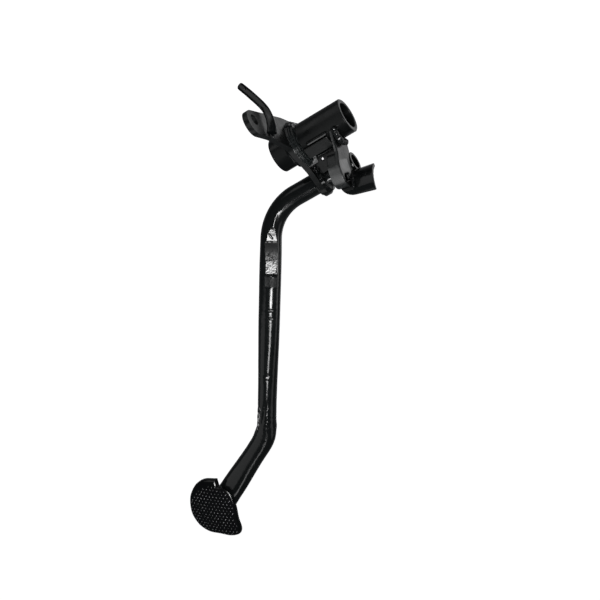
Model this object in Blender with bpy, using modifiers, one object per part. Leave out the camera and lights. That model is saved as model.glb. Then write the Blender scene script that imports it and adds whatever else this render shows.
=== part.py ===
"""Rear brake pedal of a motorcycle, a rigid weldment of tubes, plates and weld beads.

Every piece is one named object. Lengths in the tables are millimetres. In the pedal's
frame x runs outboard from the pivot tube's inboard end, y forward and z up, both from
the pivot axis. The frame's empty puts the top of the tube's inboard rim at the origin.
"""
import math

import bmesh
import bpy
from mathutils import Vector

MM = 0.001
GAP = 0.3                      # clearance between one piece and the next

PIVOT_OD = 26.0
PIVOT_ID = 19.0
PIVOT_LENGTH = 61.0
PIVOT_EDGE = 0.6               # chamfer on both rims
RIM_RADIUS = 11.75             # of the frame's origin on the inboard rim

LEVER_X = 42.5                 # inboard face of the lever plate
LEVER_THICKNESS = 4.0
LEVER_CORNERS = (              # y, z, corner radius
    (-30.5, 68.0, 9.4), (-12.0, 68.0, 9.0), (-7.0, 42.0, 30.0), (3.0, 17.5, 14.0),
    (22.0, 2.2, 20.0), (43.5, -7.8, 9.5), (39.5, -25.5, 10.0), (-14.0, -20.0, 14.0),
    (-21.5, 8.0, 30.0),
)
ROD_EYE = (-21.5, 57.6)        # centre of the brake rod's hole
ROD_EYE_RADIUS = 4.0

ARM_Y = 30.0
ARM_Z = -14.0
ARM_START_X = 15.0
ARM_WALL = 2.4
ARM_BENDS = ((90.5, ARM_Y, 40.0), (184.1, 183.5, 37.0))    # corner x, y and bend radius
ARM_END = (245.5, 216.4)
ARM_RISE = 1.5                 # the last run climbs this much towards the pad
ARM_SECTIONS = (               # distance along the tube, width in the bend plane, height
    (0.0, 16.0, 16.0), (75.0, 16.0, 16.0), (118.0, 17.3, 14.4), (150.0, 17.0, 15.0),
    (226.0, 14.4, 17.2), (240.0, 14.8, 17.0), (252.0, 17.4, 15.2), (268.0, 17.2, 15.0),
    (306.0, 19.6, 13.2), (322.0, 20.4, 12.8),
)

PAD_CENTRE = (250.8, 217.2)
PAD_TOP = 0.0
PAD_DROP = 3.6                 # fall of the dome from its crown to PAD_REACH
PAD_REACH = 26.0
PAD_SHEET = 2.8
PAD_RIM_BOTTOM = -8.0
PAD_INSET = 0.88               # inner outline as a share of the outer one
PAD_OPEN_SHIFT = (-7.0, -1.5)  # the hollow runs out this way, so the rim stops there
ARM_SLOT_CLEARANCE = 0.9       # around the arm where it enters the pad
PAD_OUTLINE = (                # x, y from the centre, and whether it is a sharp corner
    (-12.8, -20.4, True), (0.4, -24.6, False), (11.8, -20.4, False),
    (19.8, -9.5, False), (21.4, 2.0, False), (16.5, 13.8, False), (7.0, 20.8, False),
    (-5.0, 27.6, False), (-9.2, 27.0, False), (-14.4, 15.0, False),
    (-18.8, 0.0, False), (-18.2, -8.5, False), (-12.2, -14.8, True),
)

BRACKET_X = 12.0               # the bracket's own frame stands here, on its inboard face
BRACKET_Y = 6.0
BRACKET_TOE = math.radians(9.8)
BRACKET_SHEET = 2.6
FLANGE_WIDTH = 9.5
WEB_CORNERS = (
    (-3.0, 12.2, 0.0), (15.2, 14.6, 6.0), (23.0, 20.0, 10.0), (39.2, 21.0, 9.5),
    (41.0, 2.0, 3.0), (33.0, -12.0, 2.0), (22.0, -12.0, 2.0), (15.0, -11.4, 3.0),
    (6.0, -13.4, 3.0), (-3.0, -12.4, 0.0),
)
FLANGE_PATH = (
    (16.2, 7.0, 0.0), (16.4, 13.6, 4.5), (23.6, 18.7, 9.0), (38.0, 19.7, 8.4),
    (39.4, 6.0, 0.0),
)
WINDOW_CORNERS = ((30.8, 3.6, 2.2), (36.2, 5.6, 2.2), (36.4, 16.2, 2.4), (31.0, 16.4, 2.4))

SADDLE_CENTRE = (48.8, -8.9)
SADDLE_RADIUS = 19.2
SADDLE_SHEET = 3.0
SADDLE_FROM = math.radians(90.0)
SADDLE_TO = math.radians(172.0)
SADDLE_INBOARD = -16.5
SADDLE_OUTBOARD = 9.6
SADDLE_CORNER = 12.0           # radius of its outboard front corner in plan
SADDLE_TAPER = 2.2             # how much shorter the saddle is at its outboard end

GUSSET_ANGLE = math.radians(58.0)
GUSSET_LENGTH = 20.1
GUSSET_WIDTH = 8.6
GUSSET_THICKNESS = 2.5
GUSSET_X = 16.8

TIE_CORNERS = (                # x, y; a tongue reaches the lever plate between two beads
    (18.6, 12.8, 1.0), (36.9, 12.8, 1.0), (36.9, 18.0, 0.5), (42.2, 18.0, 0.5),
    (42.2, 21.1, 0.5), (38.2, 21.1, 0.5), (38.2, 27.0, 1.0), (18.6, 27.0, 1.0),
)
TIE_Z = (-6.2, -3.7)
TIE_HOLE = (33.2, 17.4, 1.0)

HOOK_PATH = (                  # x, y, z and the bar's radius as a share of HOOK_RADIUS
    (38.6, -7.5, 50.0, 1.25), (38.2, -14.0, 45.0, 1.15), (38.3, -21.5, 40.6, 1.0),
    (39.0, -28.8, 39.8, 1.0), (41.0, -38.5, 44.6, 1.0), (43.2, -46.6, 49.2, 0.96),
    (43.9, -49.0, 50.6, 0.55),
)
HOOK_RADIUS = 2.8
HOOK_HOLE = (42.6, -44.5, 48.0)
HOOK_HOLE_RADIUS = 0.9

LEVER_BEAD_LEGS = (5.0, 3.0)   # inboard and outboard side of the lever plate
ARM_BEAD_LEGS = (3.6, 2.6)
RING_BEAD_SQUASH = 0.88        # a ring bead spreads this much less than it climbs
PIVOT_BEAD_RADIUS = 2.3
PIVOT_BEAD_ARC = (-22.0, 62.0)
THIN_BEAD_RADIUS = 1.4
ARM_BEAD_ARC = (78.0, 98.0)
SADDLE_BEAD_ARC = (108.0, 130.0)
GUSSET_BEAD_RADIUS = 1.15
GUSSET_BEAD_ANGLE = math.radians(69.5)
GUSSET_BEAD_X = (15.6, 33.0)
TIE_BEAD_RADIUS = 1.3
TIE_ARM_BEAD_X = (22.5, 37.0)
TIE_LEVER_BEAD_Y = (18.4, 25.2)
TIE_PIVOT_BEAD_RADIUS = 1.1
TIE_PIVOT_BEAD_X = (20.0, 35.5)
HOOK_BEAD_RADIUS = 1.2
HOOK_BEAD_LENGTH = 8.75
PAD_BEAD_RADIUS = 1.3


def reset_scene():
    for obj in list(bpy.data.objects):
        bpy.data.objects.remove(obj, do_unlink=True)
    for group in list(bpy.data.collections):
        bpy.data.collections.remove(group)


def new_collection(name):
    group = bpy.data.collections.new(name)
    bpy.context.scene.collection.children.link(group)
    return group


def paint(name, color, roughness, metallic):
    """Return the Principled BSDF material of one piece."""
    mat = bpy.data.materials.new(name)
    mat.use_nodes = True
    shader = mat.node_tree.nodes["Principled BSDF"]
    shader.inputs["Base Color"].default_value = (*color, 1.0)
    shader.inputs["Roughness"].default_value = roughness
    shader.inputs["Metallic"].default_value = metallic
    mat.diffuse_color = (*color, 1.0)
    return mat


def gloss_black(name):
    return paint(name + "_paint", (0.012, 0.013, 0.014), 0.22, 0.0)


def bead_black(name):
    return paint(name + "_paint", (0.016, 0.017, 0.018), 0.3, 0.0)


def pad_black(name):
    return paint(name + "_paint", (0.02, 0.021, 0.022), 0.38, 0.0)


def new_frame(name, location, toe, parent):
    """Add an empty that other pieces are placed from."""
    frame = bpy.data.objects.new(name, None)
    frame.location = Vector(location) * MM
    frame.rotation_euler = (0.0, 0.0, toe)
    frame.parent = parent
    PARTS.objects.link(frame)
    return frame


def place(obj, group, parent, location=(0, 0, 0), rotation=(0, 0, 0)):
    obj.location = Vector(location) * MM
    obj.rotation_euler = rotation
    obj.parent = parent
    group.objects.link(obj)
    return obj


def mark_cutter(obj):
    obj.hide_render = True
    obj.display_type = "WIRE"
    return obj


def finish_mesh(mesh, weld=0.0):
    """Weld doubled points, face every side outwards and shade round stretches smooth."""
    bm = bmesh.new()
    bm.from_mesh(mesh)
    if weld:
        bmesh.ops.remove_doubles(bm, verts=bm.verts, dist=weld)
    bmesh.ops.recalc_face_normals(bm, faces=bm.faces)
    bm.to_mesh(mesh)
    bm.free()
    mesh.shade_smooth()
    mesh.set_sharp_from_angle(angle=math.radians(32))


def mesh_from_curve(curve_obj, group):
    """Turn a placed curve object into a closed mesh object of the same name."""
    bpy.context.view_layer.update()
    depsgraph = bpy.context.evaluated_depsgraph_get()
    mesh = bpy.data.meshes.new_from_object(curve_obj.evaluated_get(depsgraph))
    finish_mesh(mesh, weld=0.001 * MM)
    name, parent = curve_obj.name, curve_obj.parent
    location, rotation = curve_obj.location.copy(), curve_obj.rotation_euler.copy()
    bpy.data.objects.remove(curve_obj, do_unlink=True)
    obj = bpy.data.objects.new(name, mesh)
    mesh.name = name
    obj.location, obj.rotation_euler, obj.parent = location, rotation, parent
    group.objects.link(obj)
    return obj


def soften(obj, width, segments=2):
    """Round every edge sharper than 30 degrees."""
    bevel = obj.modifiers.new("edges", "BEVEL")
    bevel.width = width * MM
    bevel.segments = segments
    bevel.limit_method = "ANGLE"
    bevel.angle_limit = math.radians(30)
    return obj


def combine(obj, other, operation):
    boolean = obj.modifiers.new(operation.lower(), "BOOLEAN")
    boolean.operation = operation
    boolean.solver = "EXACT"
    boolean.object = other
    return obj


def apply_modifiers(obj):
    """Bake the stack, so that a bevel can follow a Boolean on clean, welded faces."""
    bpy.context.view_layer.update()
    depsgraph = bpy.context.evaluated_depsgraph_get()
    mesh = bpy.data.meshes.new_from_object(obj.evaluated_get(depsgraph))
    obj.modifiers.clear()
    obj.data = mesh
    finish_mesh(mesh, weld=0.002 * MM)
    return obj


def fillet(before, corner, after, radius, step=math.radians(12)):
    """Points of the arc that rounds one corner."""
    corner = Vector(corner)
    toward_before = (Vector(before) - corner).normalized()
    toward_after = (Vector(after) - corner).normalized()
    opening = toward_before.angle(toward_after)
    if radius <= 0 or opening > math.radians(179):
        return [corner]
    reach = radius / math.tan(opening / 2)
    centre = corner + (toward_before + toward_after).normalized() * radius / math.sin(opening / 2)
    first = corner + toward_before * reach - centre
    last = corner + toward_after * reach - centre
    turn = first.angle_signed(last)
    count = max(2, math.ceil(abs(turn) / step))
    angle = math.atan2(first.y, first.x)
    points = []
    for i in range(count + 1):
        a = angle - turn * i / count
        points.append(centre + Vector((math.cos(a), math.sin(a))) * radius)
    return points


def rounded(corners, closed=True):
    """Outline through the corners, each one rounded to its own radius."""
    points = []
    last = len(corners) - 1
    for i, (u, v, radius) in enumerate(corners):
        if not closed and i in (0, last):
            points.append(Vector((u, v)))
            continue
        before = corners[i - 1][:2]
        after = corners[(i + 1) % len(corners)][:2]
        points += fillet(before, (u, v), after, radius)
    return points


def circle(centre, radius, count=32):
    step = math.tau / count
    return [Vector((centre[0] + radius * math.cos(i * step),
                    centre[1] + radius * math.sin(i * step))) for i in range(count)]


def arc_band(centre, radius, sheet, start, stop, count=14):
    """Outline of a curved sheet: its outer arc, then its inner arc backwards."""
    angles = [start + (stop - start) * i / count for i in range(count + 1)]
    outer = [Vector(centre) + Vector((math.cos(a), math.sin(a))) * radius for a in angles]
    inner = [Vector(centre) + Vector((math.cos(a), math.sin(a))) * (radius - sheet)
             for a in reversed(angles)]
    return outer + inner


def path_band(path, sheet):
    """Outline of a sheet of even thickness whose middle follows the path."""
    left, right = [], []
    for i, point in enumerate(path):
        ahead = path[min(i + 1, len(path) - 1)]
        behind = path[max(i - 1, 0)]
        side = (ahead - behind).normalized().orthogonal() * sheet / 2
        left.append(point + side)
        right.append(point - side)
    return left + right[::-1]


SIDE_ON = (math.radians(90), 0.0, math.radians(90))     # outline u, v becomes y, z


def sheet(name, outlines, thickness, group, parent, location=(0, 0, 0), rotation=SIDE_ON):
    """Flat piece: a filled outline, any further outlines being holes in it."""
    curve = bpy.data.curves.new(name, "CURVE")
    curve.dimensions = "2D"
    curve.fill_mode = "BOTH"
    curve.extrude = thickness / 2 * MM
    for outline in outlines:
        spline = curve.splines.new("POLY")
        spline.points.add(len(outline) - 1)
        spline.use_cyclic_u = True
        for point, (u, v) in zip(spline.points, outline):
            point.co = (u * MM, v * MM, 0.0, 1.0)
    obj = bpy.data.objects.new(name, curve)
    place(obj, group, parent, location, rotation)
    return mesh_from_curve(obj, group)


def turned(name, profile, group, parent, location, rotation, steps=56):
    """Revolve a closed profile of radius and height pairs around its z axis."""
    mesh = bpy.data.meshes.new(name)
    count = len(profile)
    edges = [(i, (i + 1) % count) for i in range(count)]
    mesh.from_pydata([(r * MM, 0.0, h * MM) for r, h in profile], edges, [])
    obj = bpy.data.objects.new(name, mesh)
    place(obj, group, parent, location, rotation)
    screw = obj.modifiers.new("turn", "SCREW")
    screw.steps = steps
    screw.render_steps = steps
    screw.use_merge_vertices = True
    screw.merge_threshold = 0.00001
    screw.use_smooth_shade = True
    return apply_modifiers(obj)


def wire(name, points, radius, group, parent, shares=None, resolution=2):
    """Round bar or weld bead along points, its ends capped."""
    curve = bpy.data.curves.new(name, "CURVE")
    curve.dimensions = "3D"
    curve.bevel_depth = radius * MM
    curve.bevel_resolution = resolution
    curve.use_fill_caps = True
    spline = curve.splines.new("POLY")
    spline.points.add(len(points) - 1)
    for i, (point, co) in enumerate(zip(spline.points, points)):
        point.co = (*(Vector(co) * MM), 1.0)
        point.radius = shares[i] if shares else 1.0
    obj = bpy.data.objects.new(name, curve)
    place(obj, group, parent)
    return mesh_from_curve(obj, group)


def bead_shares(count, taper=2):
    """Bead thickness along its run, thinning at both ends."""
    return [min(1.0, 0.45 + 0.55 * min(i, count - 1 - i) / taper) for i in range(count)]


def bead(name, points, radius, parent):
    obj = wire(name, points, radius, PARTS, parent, bead_shares(len(points)), resolution=2)
    obj.data.materials.append(bead_black(name))
    return obj


def cylinder(name, radius, length, group, parent, location, axis):
    """Cylinder whose middle is at location, along one world axis."""
    mesh = bpy.data.meshes.new(name)
    bm = bmesh.new()
    bmesh.ops.create_cone(bm, cap_ends=True, segments=64, radius1=radius * MM,
                          radius2=radius * MM, depth=length * MM)
    bm.to_mesh(mesh)
    bm.free()
    obj = bpy.data.objects.new(name, mesh)
    rotation = Vector((0, 0, 1)).rotation_difference(Vector(axis)).to_euler()
    return place(obj, group, parent, location, rotation)


def pivot_tube():
    outer, inner = PIVOT_OD / 2, PIVOT_ID / 2
    edge, length = PIVOT_EDGE, PIVOT_LENGTH
    profile = (
        (outer - edge, length), (outer, length - edge), (outer, edge), (outer - edge, 0.0),
        (inner + edge, 0.0), (inner, edge), (inner, length - edge), (inner + edge, length),
    )
    along_x = (0.0, math.radians(90), 0.0)
    tube = turned("pivot_tube", profile, PARTS, PEDAL, (0, 0, 0), along_x)
    tube.data.materials.append(gloss_black("pivot_tube"))
    return tube


def lever_plate():
    outline = rounded(LEVER_CORNERS)
    holes = [
        circle((0.0, 0.0), PIVOT_OD / 2 + GAP, 48),
        circle((ARM_Y, ARM_Z), ARM_SECTIONS[0][1] / 2 + GAP, 36),
        circle(ROD_EYE, ROD_EYE_RADIUS, 28),
    ]
    middle = LEVER_X + LEVER_THICKNESS / 2
    plate = sheet("lever_plate", [outline, *holes], LEVER_THICKNESS, PARTS, PEDAL, (middle, 0, 0))
    plate.data.materials.append(gloss_black("lever_plate"))
    return soften(plate, 0.35)


def arm_path():
    """Middle of the arm tube as points in plan, from inboard to the pad."""
    corners = [(ARM_START_X, ARM_Y, 0.0), *ARM_BENDS, (*ARM_END, 0.0)]
    points = rounded(corners, closed=False)
    dense = [points[0]]
    for point in points[1:]:
        run = point - dense[-1]
        pieces = max(1, round(run.length / 9.0))
        start = dense[-1]
        dense += [start + run * (i + 1) / pieces for i in range(pieces)]
    return dense


def arm_section(distance):
    """Width and height of the arm tube at a distance along it."""
    for (d0, w0, h0), (d1, w1, h1) in zip(ARM_SECTIONS, ARM_SECTIONS[1:]):
        if distance <= d1:
            t = max(0.0, (distance - d0) / (d1 - d0))
            t = t * t * (3 - 2 * t)
            return w0 + (w1 - w0) * t, h0 + (h1 - h0) * t
    return ARM_SECTIONS[-1][1:]


def arm_rise(point):
    """Height gained at a point of the last run, from none at the second bend."""
    along = (point.x - ARM_BENDS[-1][0]) / (ARM_END[0] - ARM_BENDS[-1][0])
    return ARM_RISE * max(0.0, along) ** 1.5


def arm_tube(segments=24):
    """Loft of oval rings: the bends flatten the tube, and so does its pad end."""
    path = arm_path()
    bm = bmesh.new()
    outer_rings, inner_rings = [], []
    distance = 0.0
    for i, point in enumerate(path):
        if i:
            distance += (point - path[i - 1]).length
        ahead = (path[min(i + 1, len(path) - 1)] - path[max(i - 1, 0)]).normalized()
        side = Vector((ahead.y, -ahead.x, 0.0))
        middle = Vector((point.x, point.y, ARM_Z + arm_rise(point)))
        width, height = arm_section(distance)
        for rings, wall in ((outer_rings, 0.0), (inner_rings, ARM_WALL)):
            ring = []
            for k in range(segments):
                a = math.tau * k / segments
                offset = side * (width / 2 - wall) * math.cos(a)
                offset += Vector((0, 0, (height / 2 - wall) * math.sin(a)))
                ring.append(bm.verts.new((middle + offset) * MM))
            rings.append(ring)
    pairs = [*zip(outer_rings, outer_rings[1:]), *zip(inner_rings, inner_rings[1:]),
             (outer_rings[0], inner_rings[0]), (outer_rings[-1], inner_rings[-1])]
    for one, two in pairs:
        for k in range(segments):
            n = (k + 1) % segments
            bm.faces.new((one[k], one[n], two[n], two[k]))
    mesh = bpy.data.meshes.new("arm_tube")
    bm.to_mesh(mesh)
    bm.free()
    finish_mesh(mesh)
    tube = place(bpy.data.objects.new("arm_tube", mesh), PARTS, PEDAL)
    tube.data.materials.append(gloss_black("arm_tube"))
    return tube


def pad_prism(name, share, shift, bottom, top):
    """Upright prism on the pad's outline, scaled and moved in plan."""
    curve = bpy.data.curves.new(name, "CURVE")
    curve.dimensions = "2D"
    curve.fill_mode = "BOTH"
    curve.resolution_u = 5
    curve.extrude = (top - bottom) / 2 * MM
    spline = curve.splines.new("BEZIER")
    spline.bezier_points.add(len(PAD_OUTLINE) - 1)
    spline.use_cyclic_u = True
    for point, (x, y, sharp) in zip(spline.bezier_points, PAD_OUTLINE):
        point.co = ((x * share + shift[0]) * MM, (y * share + shift[1]) * MM, 0.0)
        kind = "VECTOR" if sharp else "AUTO"
        point.handle_left_type = kind
        point.handle_right_type = kind
    obj = bpy.data.objects.new(name, curve)
    place(obj, CUTTERS, PEDAL, (*PAD_CENTRE, (bottom + top) / 2))
    return mark_cutter(mesh_from_curve(obj, CUTTERS))


def dome_block(name, crown):
    """Solid under a shallow dome with its crown at the given height."""
    mesh = bpy.data.meshes.new(name)
    bm = bmesh.new()
    bmesh.ops.create_grid(bm, x_segments=14, y_segments=14, size=PAD_REACH * 1.3 * MM)
    top = list(bm.verts)
    made = bmesh.ops.extrude_face_region(bm, geom=list(bm.faces))
    floor = [v for v in made["geom"] if isinstance(v, bmesh.types.BMVert)]
    for vert in floor:
        vert.co.z = -30 * MM
    for vert in top:
        away = vert.co.xy.length / MM / PAD_REACH
        vert.co.z = -PAD_DROP * away * away * MM
    bmesh.ops.recalc_face_normals(bm, faces=bm.faces)
    bm.to_mesh(mesh)
    bm.free()
    obj = bpy.data.objects.new(name, mesh)
    return mark_cutter(place(obj, CUTTERS, PEDAL, (*PAD_CENTRE, crown)))


def arm_heading():
    """Plan angle of the arm's last straight run."""
    corner = ARM_BENDS[-1]
    return math.atan2(ARM_END[1] - corner[1], ARM_END[0] - corner[0])


def foot_pad():
    """Pressed dome with a turned-down rim that is left off where the arm comes in."""
    pad = pad_prism("foot_pad", 1.0, (0.0, 0.0), PAD_RIM_BOTTOM, PAD_TOP + 2.0)
    CUTTERS.objects.unlink(pad)
    PARTS.objects.link(pad)
    pad.hide_render = False
    pad.display_type = "TEXTURED"
    combine(pad, dome_block("dome_outer", PAD_TOP), "INTERSECT")
    inner_dome = dome_block("dome_inner", PAD_TOP - PAD_SHEET)
    for name, shift in (("pad_hollow", (0.0, 0.0)), ("pad_open_side", PAD_OPEN_SHIFT)):
        hollow = pad_prism(name, PAD_INSET, shift, PAD_RIM_BOTTOM - 5, PAD_TOP + 2.0)
        combine(hollow, inner_dome, "INTERSECT")
        combine(pad, mark_cutter(apply_modifiers(hollow)), "DIFFERENCE")
    width, height = ARM_SECTIONS[-1][1:]
    length = 60.0
    slot = cylinder("arm_slot", 1.0, 1.0, CUTTERS, PEDAL, (0, 0, 0), (1, 0, 0))
    for vert in slot.data.vertices:
        vert.co.x *= height / 2 + ARM_SLOT_CLEARANCE
        vert.co.y *= width / 2 + ARM_SLOT_CLEARANCE
        vert.co.z *= length
    heading = arm_heading()
    ahead = Vector((math.cos(heading), math.sin(heading)))
    middle = Vector(ARM_END) - ahead * (length / 2 - 2.0)
    slot.location = Vector((middle.x, middle.y, ARM_Z + ARM_RISE)) * MM
    slot.rotation_euler = (0.0, math.radians(90), heading)
    combine(pad, mark_cutter(slot), "DIFFERENCE")
    apply_modifiers(pad)
    pad.data.materials.clear()
    pad.data.materials.append(pad_black("foot_pad"))
    return pad


def stop_bracket():
    """Pressed bracket: a web with a window, and a flange folded along its upper edge."""
    outline = rounded(WEB_CORNERS)
    window = rounded(WINDOW_CORNERS)
    half = BRACKET_SHEET / 2
    bracket = sheet("stop_bracket", [outline, window], BRACKET_SHEET, PARTS, BRACKET, (half, 0, 0))
    band = path_band(rounded(FLANGE_PATH, closed=False), BRACKET_SHEET)
    fold = sheet("fold", [band], FLANGE_WIDTH, CUTTERS, BRACKET, (FLANGE_WIDTH / 2, 0, 0))
    combine(bracket, mark_cutter(fold), "UNION")
    near_pivot = cylinder("pivot_clearance", PIVOT_OD / 2 + GAP, 90, CUTTERS, PEDAL,
                          (20, 0, 0), (1, 0, 0))
    near_arm = cylinder("arm_clearance", ARM_SECTIONS[0][1] / 2 + GAP, 60, CUTTERS, PEDAL,
                        (20, ARM_Y, ARM_Z), (1, 0, 0))
    near_saddle = cylinder("saddle_clearance", SADDLE_RADIUS + GAP, 60, CUTTERS, BRACKET,
                           (0, *SADDLE_CENTRE), (1, 0, 0))
    for tool in (near_pivot, near_arm, near_saddle):
        combine(bracket, mark_cutter(tool), "DIFFERENCE")
    apply_modifiers(bracket)
    bracket.data.materials.append(gloss_black("stop_bracket"))
    return bracket


def stop_saddle():
    """Curved foot that meets the frame's stop, its outboard front corner rounded."""
    band = arc_band(SADDLE_CENTRE, SADDLE_RADIUS, SADDLE_SHEET, SADDLE_FROM, SADDLE_TO)
    length = SADDLE_OUTBOARD - SADDLE_INBOARD
    middle = (SADDLE_OUTBOARD + SADDLE_INBOARD) / 2
    saddle = sheet("stop_saddle", [band], length, PARTS, BRACKET, (middle, 0, 0))
    front = SADDLE_CENTRE[0]
    back = SADDLE_CENTRE[0] - SADDLE_RADIUS - 1.0
    plan = rounded((
        (SADDLE_INBOARD - 1, front, 0.0), (SADDLE_INBOARD - 1, back, 0.0),
        (SADDLE_OUTBOARD, back, 3.0), (SADDLE_OUTBOARD, front - SADDLE_TAPER, SADDLE_CORNER),
    ))
    trim = sheet("saddle_plan", [plan], 60.0, CUTTERS, BRACKET, (0, 0, 0), (0, 0, 0))
    combine(saddle, mark_cutter(trim), "INTERSECT")
    apply_modifiers(saddle)
    saddle.data.materials.append(gloss_black("stop_saddle"))
    return soften(saddle, 0.4)


def cross_gusset():
    """Strip that lies against the pivot tube between the lever plate and the bracket."""
    start = GUSSET_X
    stop = GUSSET_X + GUSSET_LENGTH
    corners = ((start, -1.0, 0.6), (stop, -1.0, 0.6), (stop, GUSSET_WIDTH - 1, 0.6),
               (start, GUSSET_WIDTH - 1, 0.6))
    lift = PIVOT_OD / 2 + GAP + GUSSET_THICKNESS / 2
    location = (0.0, lift * math.cos(GUSSET_ANGLE), lift * math.sin(GUSSET_ANGLE))
    lean = GUSSET_ANGLE - math.radians(90)
    strip = sheet("cross_gusset", [rounded(corners)], GUSSET_THICKNESS, PARTS, PEDAL,
                  location, (lean, 0.0, 0.0))
    strip.data.materials.append(gloss_black("cross_gusset"))
    return soften(strip, 0.35)


def tie_plate():
    """Plate that ties the pivot tube to the arm tube, with one drain hole."""
    hole = circle(TIE_HOLE[:2], TIE_HOLE[2], 20)
    plate = sheet("tie_plate", [rounded(TIE_CORNERS), hole], TIE_Z[1] - TIE_Z[0], PARTS, PEDAL,
                  (0, 0, sum(TIE_Z) / 2), (0, 0, 0))
    plate.data.materials.append(gloss_black("tie_plate"))
    return soften(plate, 0.35)


def smooth_run(points, per_span=5):
    """Catmull-Rom run through points of any dimension."""
    run = []
    last = len(points) - 1
    for i in range(last):
        p = [Vector(points[min(max(i + k, 0), last)]) for k in (-1, 0, 1, 2)]
        for step in range(per_span):
            t = step / per_span
            run.append(0.5 * (2 * p[1] + (p[2] - p[0]) * t
                              + (2 * p[0] - 5 * p[1] + 4 * p[2] - p[3]) * t ** 2
                              + (3 * p[1] - p[0] - 3 * p[2] + p[3]) * t ** 3))
    run.append(Vector(points[last]))
    return run


def spring_hook():
    """Bent bar for the return spring, with a small hole through its tip."""
    run = smooth_run(HOOK_PATH, per_span=4)
    points = [point[:3] for point in run]
    shares = [point[3] for point in run]
    hook = wire("spring_hook", points, HOOK_RADIUS, PARTS, PEDAL, shares, resolution=4)
    drill = cylinder("hook_drill", HOOK_HOLE_RADIUS, 20, CUTTERS, PEDAL, HOOK_HOLE, (-0.8, 0, 0.6))
    combine(hook, mark_cutter(drill), "DIFFERENCE")
    apply_modifiers(hook)
    hook.data.materials.append(gloss_black("spring_hook"))
    return hook


def ring_bead(name, tube_radius, leg, face_x, inboard, middle=(0.0, 0.0), steps=48):
    """Convex fillet weld around a tube, on one side of the lever plate."""
    bore = tube_radius + GAP
    arc = [math.radians(90 * i / 5) for i in range(6)]
    profile = [(bore + leg * RING_BEAD_SQUASH * math.sin(a), leg * math.cos(a)) for a in arc]
    profile.append((bore, 0.0))
    turn = math.radians(-90 if inboard else 90)
    offset = -GAP if inboard else GAP
    ring = turned(name, profile, PARTS, PEDAL, (face_x + offset, *middle), (0.0, turn, 0.0), steps)
    ring.data.materials.append(bead_black(name))
    return ring


def around(centre, radius, start, stop, count, x_at):
    """Points on an arc around a tube axis, with x as a function of y."""
    points = []
    for i in range(count):
        a = math.radians(start + (stop - start) * i / (count - 1))
        y = centre[0] + radius * math.cos(a)
        points.append((x_at(y), y, centre[1] + radius * math.sin(a)))
    return points


def web_face_x(y, outboard):
    """x of one face of the bracket's web, which stands at its toe angle."""
    depth = BRACKET_SHEET / math.cos(BRACKET_TOE) if outboard else 0.0
    return BRACKET_X + depth + (y - BRACKET_Y) * math.tan(BRACKET_TOE)


def span(start, stop, count):
    """Evenly spaced values from start to stop."""
    return [start + (stop - start) * i / (count - 1) for i in range(count)]


def pivot_ring_beads():
    far_face = LEVER_X + LEVER_THICKNESS
    radius = PIVOT_OD / 2
    ring_bead("weld_lever_inboard", radius, LEVER_BEAD_LEGS[0], LEVER_X, True)
    ring_bead("weld_lever_outboard", radius, LEVER_BEAD_LEGS[1], far_face, False)


def arm_ring_beads():
    far_face = LEVER_X + LEVER_THICKNESS
    radius = ARM_SECTIONS[0][1] / 2
    middle = (ARM_Y, ARM_Z)
    ring_bead("weld_arm_inboard", radius, ARM_BEAD_LEGS[0], LEVER_X, True, middle, 36)
    ring_bead("weld_arm_outboard", radius, ARM_BEAD_LEGS[1], far_face, False, middle, 36)


def bracket_pivot_bead():
    """Heavy bead between the bracket's web and the pivot tube, on the inboard side."""
    radius = PIVOT_BEAD_RADIUS
    stand_off = GAP + radius * 1.02
    run = around((0, 0), PIVOT_OD / 2 + GAP + radius, *PIVOT_BEAD_ARC, 14,
                 lambda y: web_face_x(y, False) - stand_off)
    bead("weld_bracket_pivot", run, radius, PEDAL)


def bracket_arm_bead():
    """Short bead between the web and the arm tube, on the outboard side."""
    radius = THIN_BEAD_RADIUS
    stand_off = GAP + radius * 1.05
    reach = ARM_SECTIONS[0][1] / 2 + GAP + radius
    run = around((ARM_Y, ARM_Z), reach, *ARM_BEAD_ARC, 6, lambda y: web_face_x(y, True) + stand_off)
    bead("weld_bracket_arm", run, radius, PEDAL)


def bracket_saddle_bead():
    """Bead along the saddle's back, on the web's inboard face."""
    radius = THIN_BEAD_RADIUS
    stand_off = GAP + radius * 1.02
    run = around(SADDLE_CENTRE, SADDLE_RADIUS + GAP + radius, *SADDLE_BEAD_ARC, 12,
                 lambda y: -stand_off)
    bead("weld_bracket_saddle", run, radius, BRACKET)


def gusset_bead():
    """Bead along the gusset's upper edge, on top of the pivot tube."""
    radius = GUSSET_BEAD_RADIUS
    reach = PIVOT_OD / 2 + GAP + radius
    y = reach * math.cos(GUSSET_BEAD_ANGLE)
    z = reach * math.sin(GUSSET_BEAD_ANGLE)
    bead("weld_gusset", [(x, y, z) for x in span(*GUSSET_BEAD_X, 14)], radius, PEDAL)


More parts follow.
